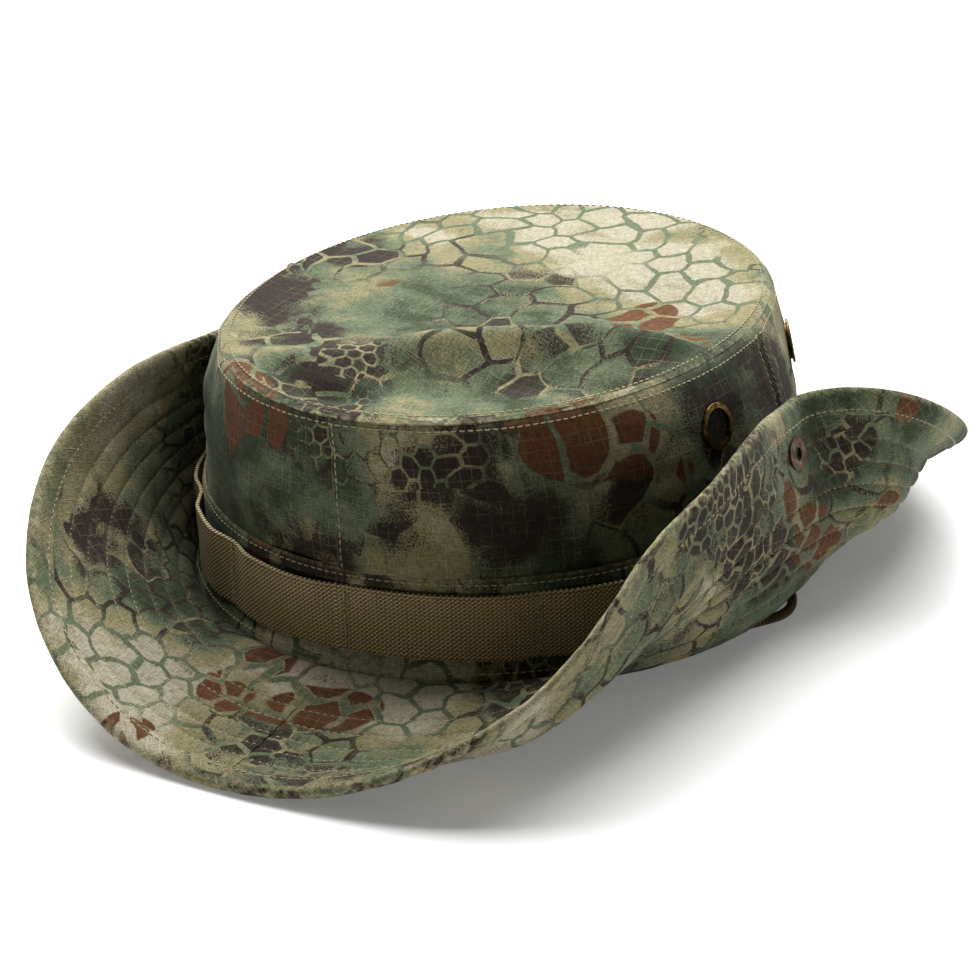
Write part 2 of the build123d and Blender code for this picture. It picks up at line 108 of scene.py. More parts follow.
def noise(points, size, seed):
    """Smooth noise from -1 to 1 with features about that many millimetres across."""
    q = np.asarray(points, float) / size + seed * 17.31
    cell = np.floor(q).astype(np.int64)
    f = q - cell
    f = f * f * f * (f * (f * 6 - 15) + 10)
    total = np.zeros(q.shape[:-1])
    for dx in (0, 1):
        for dy in (0, 1):
            for dz in (0, 1):
                i = cell + (dx, dy, dz)
                n = i[..., 0] * 374761393 + i[..., 1] * 668265263 + i[..., 2] * 1274126177
                n = (n + seed * 974711) & 0xFFFFFFFF
                n = ((n ^ (n >> 13)) * 1103515245) & 0xFFFFFFFF
                n = ((n ^ (n >> 16)) * 69069) & 0xFFFFFFFF
                value = ((n >> 8) & 0xFFFF) / 32767.5 - 1
                w = np.abs(1 - dx - f[..., 0]) * np.abs(1 - dy - f[..., 1])
                total = total + value * w * np.abs(1 - dz - f[..., 2])
    return total


def bell(distance, width):
    """1 at no distance, falling smoothly to nothing some widths away."""
    return np.exp(-((distance / width) ** 2))


# ---- the crown's and brim's surfaces ----
def crown(t, h, out=0.0):
    """A point of the crown's side: h above the brim's seam, and out from its smooth form."""
    a = np.radians(t)
    share = h / CROWN_HEIGHT
    width = CROWN_HALF_WIDTH - CROWN_NARROWS * share**4 + out
    length = CROWN_HALF_LENGTH + CROWN_LENGTHENS * share**2 + out
    z = SEAM_Z + h + 0 * a
    return np.stack([width * np.cos(a), length * np.sin(a) - CROWN_LEANS * share, z], -1)


def folded(t):
    """The angle from -90 to 90 that mirrors t across the middle of the hat."""
    t = (np.asarray(t, float) + 90) % 360 - 90
    return np.where(t > 90, 180 - t, t)


def lift(t):
    """How far the brim is folded up at t, from 0 to 1."""
    a = folded(t)
    front = 0.5 + 0.5 * np.cos(np.pi * (-6 - a) / 84)
    rear = (1 - ((a - 2) / 88) ** 4) ** 2 / (1 + ((a - 2) / 24) ** 2)
    return np.where(a < -6, front, np.where(a < 2, 1.0, rear))


def brim_frame(t):
    """The seam's point at t, and the level direction straight out from it."""
    a = np.radians(t)
    across, along = np.cos(a), np.sin(a)
    seam = np.stack([SEAM_HALF_WIDTH * across, SEAM_HALF_LENGTH * along, SEAM_Z + 0 * a], -1)
    out = np.stack([across / SEAM_HALF_WIDTH, along / SEAM_HALF_LENGTH, 0 * a], -1)
    return seam, out / np.linalg.norm(out, axis=-1, keepdims=True)


def brim(t, d, above=0.0):
    """A point of the brim: d out from the seam along the cloth, and above the cloth's middle."""
    t, d = np.asarray(t, float), np.asarray(d)
    share = lift(t)
    a = folded(t)
    left = np.where(np.cos(np.radians(t)) > 0, 1.0, 0.0)
    chord = FLAT_CHORD + (FOLDED_CHORD - FLAT_CHORD) * share
    chord = chord + left * (7 * bell(a + 44, 11) + 8 * bell(a - 62, 13) + 3 * bell(a - 34, 14))
    chord = chord + (1 - left) * (28 * bell(a - 18, 12) + 5 * bell(a + 16, 9))
    curl = FLAT_CURL + (FOLDED_CURL - FLAT_CURL) * share + left * 26 * bell(a - 38, 17)
    first = np.radians(chord - curl / 2)
    last = first + np.radians(curl) * d / BRIM_WIDTH
    radius = BRIM_WIDTH / np.radians(curl)
    across = radius * (np.sin(last) - np.sin(first)) - above * np.sin(last)
    up = radius * (np.cos(first) - np.cos(last))

    # the left side's own shape: drawn in at the rear, a belly, a sag in front, and a lip at the edge
    tuck = left * bell(a - 33, 19) * np.clip(d / BRIM_WIDTH, 0, 2) ** 1.2
    belly = left * bell(a - 15, 17) * bell(d - 25, 17)
    sag = left * bell(a + 54, 21) * bell(d - 37, 17)
    lip = 3.0 * ease(d, 50, 60) - 1.6 * bell(d - 46, 5)
    across, up = across + 8.5 * sag, up - 7.5 * sag
    clear = (SEAM_Z + up - REST_Z) / REST_SOFTNESS
    up = REST_Z - SEAM_Z + REST_SOFTNESS * np.logaddexp(0, clear) + above * np.cos(last)
    across = across - 8.5 * tuck + 6.0 * belly + left * bell(a - 28, 24) * lip
    seam, out = brim_frame(t)
    return seam + across[..., None] * out + up[..., None] * np.array([0, 0, 1.0])


def grid(low, high, count, low2, high2, count2):
    return np.meshgrid(np.linspace(low, high, count), np.linspace(low2, high2, count2), indexing="ij")


# ---- meshes ----
def normals(p, closed):
    along = np.roll(p, -1, 0) - np.roll(p, 1, 0) if closed else np.gradient(p, axis=0)
    n = np.cross(along, np.gradient(p, axis=1))
    return n / np.maximum(np.linalg.norm(n, axis=-1, keepdims=True), 1e-12)


UV_SCALE = 100.0  # millimetres of cloth per unit of its UV layer


def mesh_object(name, vertices, faces, material, smooth=60):
    mesh = bpy.data.meshes.new(name)
    mesh.from_pydata((np.asarray(vertices) * MM).tolist(), [], np.asarray(faces).tolist())
    mesh.validate()
    mesh.shade_smooth()
    mesh.set_sharp_from_angle(angle=math.radians(smooth))
    mesh.materials.append(material)
    made = bpy.data.objects.new(name, mesh)
    bpy.context.scene.collection.objects.link(made)
    return made


def attribute(made, name, values):
    values = np.asarray(values, np.float32)
    if values.ndim == 1:
        made.data.attributes.new(name, "FLOAT", "POINT").data.foreach_set("value", values)
    else:
        colours = made.data.attributes.new(name, "FLOAT_COLOR", "POINT")
        colours.data.foreach_set("color", values.ravel())


def cloth(name, p, uv, material, thickness, closed=False, wear=None):
    """A sheet of cloth: p is a grid of points on its outer face, uv its flat place in millimetres."""
    nu, nv = p.shape[:2]
    outer, inner = p.reshape(-1, 3), (p - normals(p, closed) * thickness).reshape(-1, 3)
    count = nu * nv
    i = np.arange(nu if closed else nu - 1)
    j = np.arange(nv - 1)
    i, j = (x.ravel() for x in np.meshgrid(i, j, indexing="ij"))
    i2 = (i + 1) % nu
    a, b, c, d = i * nv + j, i2 * nv + j, i2 * nv + j + 1, i * nv + j + 1
    faces = [np.stack([a, b, c, d], 1), np.stack([a, d, c, b], 1) + count]
    k = np.arange(nu if closed else nu - 1)
    k2 = (k + 1) % nu
    low, low2, high, high2 = k * nv, k2 * nv, k * nv + nv - 1, k2 * nv + nv - 1
    faces.append(np.stack([low, low + count, low2 + count, low2], 1))
    faces.append(np.stack([high, high2, high2 + count, high + count], 1))
    if not closed:
        k = np.arange(nv - 1)
        end = (nu - 1) * nv + k
        faces.append(np.stack([k, k + 1, k + 1 + count, k + count], 1))
        faces.append(np.stack([end, end + count, end + 1 + count, end + 1], 1))
    made = mesh_object(name, np.concatenate([outer, inner]), np.concatenate(faces), material)
    flat = np.tile(uv.reshape(-1, 2), (2, 1))
    corners = np.empty(len(made.data.loops), np.int32)
    made.data.loops.foreach_get("vertex_index", corners)
    layer = made.data.uv_layers.new(name="cloth")
    placed = flat[corners]
    if closed:  # the last strip runs on past the end in place of back to the start
        turn = np.repeat(np.arange(len(made.data.polygons)), 4)
        row = (corners % count) // nv
        rows = row.reshape(-1, 4)
        wraps = (rows.max(1) == nu - 1) & (rows.min(1) == 0)
        span = uv[-1, 0, 0] * nu / (nu - 1) - uv[0, 0, 0] / (nu - 1)
        shift = np.where(wraps[turn] & (row == 0), span - uv[0, 0, 0], 0)
        placed = placed + np.stack([shift, 0 * shift], 1)
    layer.data.foreach_set("uv", (placed / UV_SCALE).astype(np.float32).ravel())
    attribute(made, "tone", np.tile(tone(outer), (2, 1)))
    worn = np.zeros(count) if wear is None else np.broadcast_to(wear, (nu, nv)).reshape(-1)
    attribute(made, "wear", np.tile(worn, 2))
    return made


STITCH_SIDES = 6
STITCH_RINGS = ((-0.5, 0.35), (-0.3, 0.9), (0, 1.0), (0.3, 0.9), (0.5, 0.35))  # where, how thick
STITCH_CAPS = ((0, (5, 4, 3, 2)), (0, (5, 2, 1, 0)), (24, (0, 1, 2, 3)), (24, (0, 3, 4, 5)))


def stitch_row(path, normal, pitch=2.3, length=1.85, width=0.5, sink=0.12):
    """Thread along a path: one low bead for each stitch, its ends going into the cloth."""
    at = np.concatenate([[0], np.cumsum(np.linalg.norm(np.diff(path, axis=0), axis=1))])
    count = max(int(at[-1] / pitch), 1)
    wanted = (np.arange(count) + 0.5) * at[-1] / count

    def read(values, where):
        return np.stack([np.interp(where, at, values[:, k]) for k in range(3)], 1)

    centre, n = read(path, wanted), read(normal, wanted)
    along = read(path, wanted + 0.3) - read(path, wanted - 0.3)
    along /= np.linalg.norm(along, axis=1, keepdims=True)
    n /= np.linalg.norm(n, axis=1, keepdims=True)
    side = np.cross(along, n)
    wobble = 0.12 * noise(centre, 2.1, 5)[:, None]
    along = along + side * wobble
    rings = []
    sides = STITCH_SIDES
    for share, thick in STITCH_RINGS:
        rise = 0.24 * (1 - (2 * share) ** 2) * width * 2 - sink
        middle = centre + along * share * length + n * rise
        for k in range(sides):
            a = math.tau * k / sides
            round_it = side * math.cos(a) + n * 0.8 * math.sin(a)
            rings.append(middle + round_it * thick * width / 2)
    vertices = np.stack(rings, 1).reshape(-1, 3)
    base = np.arange(len(centre)) * len(rings)
    faces = []
    for ring in range(len(STITCH_RINGS) - 1):
        for k in range(sides):
            a, b = ring * sides + k, ring * sides + (k + 1) % sides
            faces.append(np.stack([base + a, base + b, base + b + sides, base + a + sides], 1))
    for first, order in STITCH_CAPS:
        faces.append(np.stack([base + first + k for k in order], 1))
    return vertices, np.concatenate(faces)


def stitches(name, rows, body="root"):
    """One piece made of several rows of stitches."""
    vertices, faces, start = [], [], 0
    for v, f in rows:
        vertices.append(v)
        faces.append(f + start)
        start += len(v)
    made = mesh_object(name, np.concatenate(vertices), np.concatenate(faces), thread, 80)
    if body:
        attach(made, body)
    return made


# ---- where the print is light, smoky, rust-coloured or netted ----
LIGHT, SMOKE, RUST = range(3)
SPOTS = [  # kind, x, y, z, radius, strength
    (LIGHT, -23, 68, 88, 24, 0.5), (LIGHT, 6, 46, 88, 22, 0.45), (LIGHT, 38, 55, 88, 20, 0.5),
    (LIGHT, 55, 26, 88, 16, 0.4), (LIGHT, 5, 92, 88, 18, 0.45), (LIGHT, -50, 41, 88, 14, 0.35),
    (LIGHT, 3, -46, 88, 14, 0.2), (LIGHT, -37, -138, 9, 22, 0.4), (LIGHT, -40, -155, 10, 16, 0.35),
    (LIGHT, 60, -130, 19, 18, 0.4), (LIGHT, -96, -81, 57, 14, 0.3), (LIGHT, 89, -14, 70, 10, 0.35),
    (LIGHT, 105, 27, 65, 12, 0.4), (LIGHT, 27, -98, 65, 12, 0.12), (LIGHT, 112, 60, 50, 14, 0.3),
    # The light spots round the front of the band's foot and the brim's seam below it, from (-24, -104, 12)
    # to (34, -118, 6), are partly the print's cream and partly painted light that lifts this crease out of
    # its shade under the crown.
    (LIGHT, 34, -118, 6, 12, 0.45), (LIGHT, 0, -106, 13, 17, 0.7), (LIGHT, 28, -102, 13, 16, 0.7),
    (LIGHT, -24, -104, 12, 12, 0.3), (LIGHT, 8, -97, 52, 14, 0.1),
    (SMOKE, 98, -45, 40, 16, 0.25), (SMOKE, 92, -62, 50, 14, 0.25), (SMOKE, -78, -72, 60, 16, 0.3),
    (SMOKE, -39, -55, 88, 20, 0.45), (SMOKE, -32, -89, 88, 16, 0.45), (SMOKE, -2, -99, 88, 14, 0.3),
    (SMOKE, -57, 18, 88, 12, 0.35), (SMOKE, -8, -63, 88, 14, 0.3), (SMOKE, -40, -91, 65, 14, 0.1),
    (SMOKE, 50, -84, 56, 12, 0.3), (SMOKE, 71, -56, 66, 12, 0.3), (SMOKE, 93, -74, 63, 10, 0.3),
    (SMOKE, -85, -81, 30, 18, 0.4), (SMOKE, -82, -105, 32, 10, 0.35), (SMOKE, -29, -102, 10, 14, 0.4),
    (SMOKE, 58, -154, 18, 12, 0.4), (SMOKE, 87, -82, 41, 12, 0.35), (SMOKE, 102, 22, 53, 15, 0.5),
    (SMOKE, 84, 20, 70, 12, 0.4),
    (RUST, 41, 18, 88, 12, 0.85), (RUST, 41, -2, 88, 12, 0.85), (RUST, 64, -8, 88, 12, 0.8),
    (RUST, 55, -75, 80, 12, 0.65), (RUST, 69, -54, 77, 10, 0.6), (RUST, 78, -40, 62, 9, 0.5),
    (RUST, -25, -100, 85, 11, 0.6), (RUST, -40, -91, 83, 10, 0.6), (RUST, -21, -128, 7, 9, 0.65),
    (RUST, -2, -125, 6, 9, 0.65), (RUST, 14, -121, 7, 9, 0.65), (RUST, -19, -109, 9, 8, 0.5),
    (RUST, -33, -160, 7, 8, 0.5), (RUST, -96, -70, 60, 8, 0.5), (RUST, 98, -4, 37, 9, 0.6),
    (RUST, 96, -17, 48, 9, 0.6), (RUST, 97, 10, 25, 8, 0.6), (RUST, 113, 37, 61, 7, 0.5),
    (RUST, 105, 33, 33, 9, 0.6), (RUST, 99, 32, 21, 7, 0.5), (RUST, 60, 70, 60, 12, 0.4),
]


def tone(p):
    """Per point: how light the ground is, and how strong the smoke, rust and net are."""
    made = np.stack([
        0.42 + 0.36 * noise(p, 40, 1) + 0.14 * noise(p, 19, 2),
        0.36 + 0.40 * noise(p, 34, 3) + 0.18 * noise(p, 15, 4),
        0.12 + 0.30 * noise(p, 30, 7),
        0.55 + 0.5 * noise(p, 38, 9),
    ], 1)
    for kind, x, y, z, radius, strength in SPOTS:
        near = bell(np.linalg.norm(p - np.array([x, y, z]), axis=1), radius)
        made[:, kind] += strength * near
        if kind != SMOKE:
            made[:, SMOKE] -= 0.7 * strength * near
    return made


# ---- materials ----
def rgb(*levels):
    return tuple(((c / 255 + 0.055) / 1.055) ** 2.4 for c in levels) + (1.0,)


UV_COORDINATES, OBJECT_COORDINATES = 2, 3  # outputs of the Texture Coordinate node


class Shader:
    """A material, built one node at a time."""

    def __init__(self, name, roughness=0.9, metallic=0.0, specular=0.25, sheen=0.0):
        self.material = bpy.data.materials.new(name)
        self.material.use_nodes = True
        self.tree = self.material.node_tree
        self.surface = self.tree.nodes["Principled BSDF"]
        self.surface.inputs["Roughness"].default_value = roughness
        self.surface.inputs["Metallic"].default_value = metallic
        self.surface.inputs["Specular IOR Level"].default_value = specular
        self.surface.inputs["Sheen Weight"].default_value = sheen
        self.surface.inputs["Sheen Roughness"].default_value = 0.5

    def put(self, slot, value):
        if isinstance(value, bpy.types.NodeSocket):
            self.tree.links.new(value, slot)
        else:
            slot.default_value = value

    def node(self, kind, inputs, out=0, **settings):
        made = self.tree.nodes.new("ShaderNode" + kind)
        for key, value in settings.items():
            setattr(made, key, value)
        for key, value in inputs.items():
            self.put(made.inputs[key], value)
        return made.outputs[out]

    def calc(self, operation, *values):
        return self.node("Math", dict(enumerate(values)), operation=operation)

    def vector(self, operation, *values, out=0):
        return self.node("VectorMath", dict(enumerate(values)), out, operation=operation)

    def scaled(self, value, factor):
        return self.node("VectorMath", {0: value, 3: factor}, operation="SCALE")

    def vary(self, value, amount, base):
        """base, moved either way by a value that lies between 0 and 1."""
        return self.calc("MULTIPLY_ADD", self.calc("SUBTRACT", value, 0.5), amount, base)

    def mix(self, share, a, b, blend="MIX"):
        return self.node("Mix", {0: share, 6: a, 7: b}, 2, data_type="RGBA", blend_type=blend)

    def smooth(self, value, start, stop, low=0.0, high=1.0):
        return self.node(
            "MapRange", {0: value, 1: start, 2: stop, 3: low, 4: high}, interpolation_type="SMOOTHSTEP"
        )

    def noise(self, p, size, detail=2.0, roughness=0.5, out=0):
        where = self.scaled(p, 1 / size)
        inputs = {"Vector": where, "Scale": 1.0, "Detail": detail, "Roughness": roughness}
        return self.node("TexNoise", inputs, out)

    def ramp(self, value, stops):
        made = self.tree.nodes.new("ShaderNodeValToRGB")
        elements = made.color_ramp.elements
        while len(elements) < len(stops):
            elements.new(0.5)
        for element, (position, colour) in zip(elements, stops):
            element.position = position
            element.color = colour
        self.put(made.inputs[0], value)
        return made.outputs[0]

    def on_cloth(self):
        """The cloth's own flat coordinates in millimetres."""
        return self.scaled(self.node("UVMap", {}, uv_map="cloth"), UV_SCALE)

    def in_space(self):
        """The piece's own coordinates in millimetres."""
        return self.scaled(self.node("TexCoord", {}, OBJECT_COORDINATES), 1000.0)

    def read(self, attribute_name):
        made = self.tree.nodes.new("ShaderNodeAttribute")
        made.attribute_name = attribute_name
        return made.outputs

    def parts(self, value, kind="SeparateXYZ"):
        made = self.tree.nodes.new("ShaderNode" + kind)
        self.put(made.inputs[0], value)
        return made.outputs

    def finish(self, colour, height=None, depth=0.0003, strength=0.5):
        self.put(self.surface.inputs["Base Color"], colour)
        if height is not None:
            bump = {"Height": height, "Distance": depth, "Strength": strength}
            self.put(self.surface.inputs["Normal"], self.node("Bump", bump))
        return self.material


HEX_RISE = 0.8660254  # half of the square root of 3


def hex_net(s, p, size, stretch, turn):
    """Distance from the nearest cell's edge, as a share of the cell, and a random number per cell."""
    mapping = {"Vector": p, "Rotation": (0, 0, turn), "Scale": (1 / size, 1 / (size * stretch), 0)}
    q = s.node("Mapping", mapping)
    half = (0.5, HEX_RISE, 0.5)
    low = (-0.5, -HEX_RISE, -0.5)
    a = s.vector("WRAP", q, half, low)
    b = s.vector("WRAP", s.vector("SUBTRACT", q, (0.5, HEX_RISE, 0)), half, low)
    nearer = s.calc("LESS_THAN", s.vector("LENGTH", a, out=1), s.vector("LENGTH", b, out=1))
    g = s.node("Mix", {0: nearer, 4: b, 5: a}, 1, data_type="VECTOR")
    size_to_edge = s.vector("ABSOLUTE", g)
    slanted = s.vector("DOT_PRODUCT", size_to_edge, (0.5, HEX_RISE, 0), out=1)
    upright = s.vector("DOT_PRODUCT", size_to_edge, (1, 0, 0), out=1)
    edge = s.calc("SUBTRACT", 0.5, s.calc("MAXIMUM", slanted, upright))
    which = s.vector("MULTIPLY", s.vector("SUBTRACT", q, g), (2, 1 / HEX_RISE, 0))
    which = s.vector("FLOOR", s.vector("ADD", which, (0.5, 0.5, 0.5)))
    return edge, s.node("TexWhiteNoise", {"Vector": which}, noise_dimensions="3D")


CHARCOAL, RUST_BROWN = rgb(62, 53, 48), rgb(102, 71, 47)
GREEN, SAGE = rgb(64, 74, 55), rgb(104, 114, 90)
KHAKI, CREAM = rgb(142, 135, 103), rgb(170, 164, 143)
RIP_TAN, WORN_TAN = rgb(186, 178, 144), rgb(176, 168, 136)
GROUND = [(0.15, GREEN), (0.32, SAGE), (0.42, SAGE), (0.52, KHAKI), (0.68, KHAKI), (0.8, CREAM)]
RIPSTOP = 3.4  # between the ripstop's thicker yarns


def threads(s, p):
    """Uneven yarns both ways, and the ripstop's thicker yarns, as two fields."""
    warp = s.noise(s.vector("MULTIPLY", p, (1, 0.12, 1)), 0.34, 1)
    weft = s.noise(s.vector("MULTIPLY", p, (0.12, 1, 1)), 0.34, 1)
    yarn = s.calc("ADD", warp, weft)
    high, low = (RIPSTOP / 2, RIPSTOP / 2, 1), (-RIPSTOP / 2, -RIPSTOP / 2, -1)
    parts = s.parts(s.vector("ABSOLUTE", s.vector("WRAP", p, high, low)))
    rip = s.smooth(s.calc("MINIMUM", parts[0], parts[1]), 0.26, 0.08)
    rip = s.calc("MULTIPLY", rip, s.smooth(s.noise(p, 9, 2), 0.35, 0.65))
    return yarn, rip


def camo(name, cell=9.0, stretch=1.3, turn=0.4, small=5.6):
    s = Shader(name, roughness=0.92, specular=0.12, sheen=0.08)
    p = s.on_cloth()
    field = s.read("tone")
    light, smoke, rust, net = *s.parts(field[0], "SeparateColor")[:3], field[3]
    yarn, rip = threads(s, p)
    grain = s.calc("SUBTRACT", s.noise(p, 0.62, 2, 0.7), 0.5)
    drift = s.scaled(s.vector("SUBTRACT", s.noise(p, 26, 1, out=1), (0.5, 0.5, 0.5)), 22.0)
    q = s.vector("ADD", p, drift)
    edge, which = hex_net(s, q, cell, stretch, turn)
    edge2, which2 = hex_net(s, q, small, 1.1, turn + 0.8)
    fine = s.smooth(s.calc("MULTIPLY_ADD", smoke, 0.5, s.noise(p, 44, 1)), 0.83, 0.84)
    wide, narrow = s.calc("MULTIPLY", edge, cell), s.calc("MULTIPLY", edge2, small)
    reach = s.node("Mix", {0: fine, 2: wide, 3: narrow})
    which = s.node("Mix", {0: fine, 2: which, 3: which2})
    frayed = s.vary(s.noise(p, 1.3, 2), 0.6, reach)
    width = s.node("Mix", {0: fine, 2: 0.85, 3: 0.5})
    frayed = s.calc("SUBTRACT", frayed, width)
    line = s.smooth(frayed, 0.14, -0.14)
    core = s.smooth(frayed, 0.05, 0.4)

    ground = s.vary(s.noise(p, 15, 3), 0.9, light)
    ground = s.calc("MULTIPLY_ADD", grain, 0.7, ground)
    colour = s.ramp(ground, GROUND)
    cloud = s.vary(s.noise(p, 12, 3), 0.7, smoke)
    cloud = s.calc("MULTIPLY_ADD", grain, 0.75, cloud)
    cloud = s.vary(which, 0.25, cloud)
    dark = s.smooth(cloud, 0.47, 0.62)
    red = s.vary(which, 0.35, rust)
    red = s.calc("MULTIPLY", s.smooth(red, 0.46, 0.5), core)
    drawn = s.smooth(s.calc("MULTIPLY_ADD", grain, 0.5, net), 0.36, 0.56)
    colour = s.mix(dark, colour, CHARCOAL)
    colour = s.mix(red, colour, RUST_BROWN)
    pale = s.mix(s.smooth(s.noise(p, 9, 2), 0.4, 0.6), SAGE, KHAKI)
    bright = s.calc("MULTIPLY_ADD", s.noise(p, 21, 2), 0.8, light)
    outline = s.mix(s.smooth(bright, 0.85, 1.1), CHARCOAL, SAGE)
    inked = s.smooth(s.calc("MAXIMUM", cloud, s.calc("MULTIPLY", rust, 1.1)), 0.4, 0.5)
    colour = s.mix(s.calc("MULTIPLY", line, drawn), colour, s.mix(inked, outline, pale))

    colour = s.mix(s.calc("MULTIPLY", rip, 0.16), colour, RIP_TAN)
    fade = s.calc("MULTIPLY", s.read("wear")[2], s.smooth(s.noise(p, 2.2, 3), 0.35, 0.7))
    colour = s.mix(fade, colour, WORN_TAN)
    shade = s.smooth(yarn, 0.6, 1.4, 0.62, 1.3)
    colour = s.mix(1.0, colour, s.node("CombineXYZ", {0: shade, 1: shade, 2: shade}), "MULTIPLY")
    height = s.calc("MULTIPLY_ADD", rip, 0.7, yarn)
    return s.finish(colour, height, 0.00022, 0.55)


def thread_material(name, colour, darker):
    s = Shader(name, roughness=0.75, sheen=0.2)
    p = s.in_space()
    mixed = s.mix(s.noise(p, 1.1, 3), darker, colour)
    return s.finish(mixed, s.noise(p, 0.18, 2), 0.0002, 0.5)


def webbing_material(name):
    s = Shader(name, roughness=0.72, specular=0.3, sheen=0.1)
    p = s.on_cloth()
    rise = s.read("rise")[2]
    fibre = s.noise(s.vector("MULTIPLY", p, (1, 0.35, 1)), 0.22, 2)
    # Where the weave's pips rise the colour turns pale, and in the hollows between them dark: painted
    # highlight on the pips and painted shade between them. Both colours are also lighter than the webbing's
    # own olive, as painted light against the shade it lies in.
    low = s.mix(s.noise(p, 14, 2), rgb(106, 88, 56), rgb(130, 109, 72))
    high = s.mix(s.noise(p, 5, 2), rgb(222, 206, 162), rgb(245, 232, 196))
    colour = s.mix(s.smooth(s.calc("MULTIPLY_ADD", fibre, 0.3, rise), 0.5, 1.05), low, high)
    return s.finish(colour, s.calc("MULTIPLY_ADD", fibre, 0.4, rise), 0.0003, 0.5)


def twill_material(name, dark, pale):
    s = Shader(name, roughness=0.9, sheen=0.1)
    p = s.on_cloth()
    slant = s.node("Mapping", {"Vector": p, "Rotation": (0, 0, 0.8), "Scale": (1, 0.15, 1)})
    rib = s.noise(slant, 0.5, 2)
    colour = s.mix(rib, dark, pale)
    colour = s.mix(s.smooth(s.noise(p, 20, 3), 0.35, 0.7, 0.0, 0.4), colour, dark)
    return s.finish(colour, rib, 0.0003, 0.6)


def metal_material(name, dark, bright, roughness):
    s = Shader(name, roughness=roughness, metallic=1.0, specular=0.5)
    p = s.in_space()
    rubbed = s.smooth(s.noise(p, 2.4, 4, 0.6), 0.35, 0.65)
    # The Layer Weight facing value lightens the colour where the surface turns away from the camera: a
    # painted sheen, added to the rubbed patches of real wear.
    edge = s.node("LayerWeight", {0: 0.35}, 1)
    colour = s.mix(s.calc("MULTIPLY_ADD", edge, 0.35, s.calc("MULTIPLY", rubbed, 0.75)), dark, bright)
    s.put(s.surface.inputs["Roughness"], s.smooth(s.noise(p, 0.9, 3), 0.3, 0.7, roughness + 0.15, roughness))
    return s.finish(colour, s.noise(p, 0.5, 3), 0.0001, 0.3)


def plastic_material(name):
    s = Shader(name, roughness=0.45, specular=0.4)
    p = s.in_space()
    colour = s.mix(s.noise(p, 4, 3), rgb(46, 48, 34), rgb(66, 68, 48))
    s.put(s.surface.inputs["Roughness"], s.smooth(s.noise(p, 0.8, 3), 0.3, 0.7, 0.38, 0.6))
    return s.finish(colour, s.noise(p, 0.3, 3), 0.0001, 0.35)


def felt_material(name):
    s = Shader(name, roughness=0.95)
    p = s.on_cloth()
    colour = s.mix(s.noise(p, 0.8, 4, 0.7), rgb(196, 190, 176), rgb(226, 222, 210))
    return s.finish(colour, s.noise(p, 0.4, 4, 0.7), 0.0003, 0.7)


BRAID_CROSSINGS, BRAID_STRANDS = 380.0, 4.0


def cord_material(name):
    """Braid: two sets of strands that wind round the cord against each other."""
    s = Shader(name, roughness=0.75, sheen=0.15)
    parts = s.parts(s.node("TexCoord", {}, UV_COORDINATES))
    along = s.calc("MULTIPLY", parts[0], BRAID_CROSSINGS)
    around = s.calc("MULTIPLY", parts[1], BRAID_STRANDS)
    strands = []
    for operation in ("ADD", "SUBTRACT"):
        wave = s.calc("SINE", s.calc("MULTIPLY", s.calc(operation, along, around), math.pi))
        strands.append(s.calc("ABSOLUTE", wave))
    braid = s.calc("MULTIPLY", *strands)
    p = s.in_space()
    pale = s.mix(s.noise(p, 3, 3), rgb(112, 92, 52), rgb(140, 118, 70))
    # The colour is dark where the strands meet and pale on their crowns, following the braid's bump: painted
    # shade in the grooves of the braid.
    colour = s.mix(s.smooth(braid, 0.05, 0.6), rgb(48, 38, 20), pale)
    return s.finish(colour, braid, 0.0004, 0.8)


crown_camo = camo("camo_crown", 15, 1.7, 0.9, 7)
top_camo = camo("camo_top", 13, 1.3, 1.1)
brim_camo = camo("camo_brim", 11.5, 1.1, 0.2, 6.5)
binding_camo = camo("camo_binding", 12, 1.2, 0.9)
band_camo = camo("camo_band", 11, 1.2, 0.7)
thread = thread_material("thread_tan", rgb(196, 188, 152), rgb(150, 140, 104))
webbing_look = webbing_material("webbing_weave")
twill = twill_material("olive_twill", rgb(58, 52, 34), rgb(104, 96, 66))
felt = felt_material("interlining_felt")
brass = metal_material("antique_brass", rgb(62, 48, 28), rgb(158, 130, 82), 0.36)
snap_finish = metal_material("snap_plating", rgb(58, 47, 36), rgb(140, 118, 92), 0.36)
steel = metal_material("spring_steel", rgb(120, 120, 122), rgb(205, 205, 208), 0.25)
plastic = plastic_material("lock_plastic")
cord_look = cord_material("braided_cord")
mesh_look = thread_material("screen_wire", rgb(84, 88, 82), rgb(34, 36, 34))

# ---- chin cord: the CAD route's points as the control points of one smooth curve ----
CORD_POINTS = [
    (79.6, 20, 27), (79.9, 20.6, 14), (88.5, 17, 3), (91.5, 7, 1.6), (85.5, -4, 1.6), (77, -16, 1.6),
    (69, -30, 1.6), (58, -32, 1.6), (49, -16, 1.6), (48, 7, 1.6), (38, 29, 1.6), (20, 41, 1.6),
    (2, 30, 4), (1.9, -8, 4), (10, -26, 1.6), (26, -40, 1.6), (34, -58, 1.6), (22, -76, 1.6),
    (0, -84, 1.6), (-22, -77, 1.6), (-33, -60, 1.6), (-28, -42, 1.6), (-12, -27, 1.6), (-1.9, -8, 4),
    (-2.1, 30, 4), (-21, 43, 1.6), (-41, 36, 1.6), (-48, 17, 1.6), (-50, -4, 1.6), (-57, -23, 1.6),
    (-72, -30, 1.6), (-83, -17, 1.6), (-85, 0, 3), (-81, 10.5, 13), (-80.8, 11, 25),
]
curve = bpy.data.curves.new("chin_cord_line", "CURVE")
curve.dimensions = "3D"
line = curve.splines.new("NURBS")
line.points.add(len(CORD_POINTS) - 1)
for point, spot in zip(line.points, CORD_POINTS):
    point.co = (*(MM * value for value in spot), 1)
line.order_u = 3
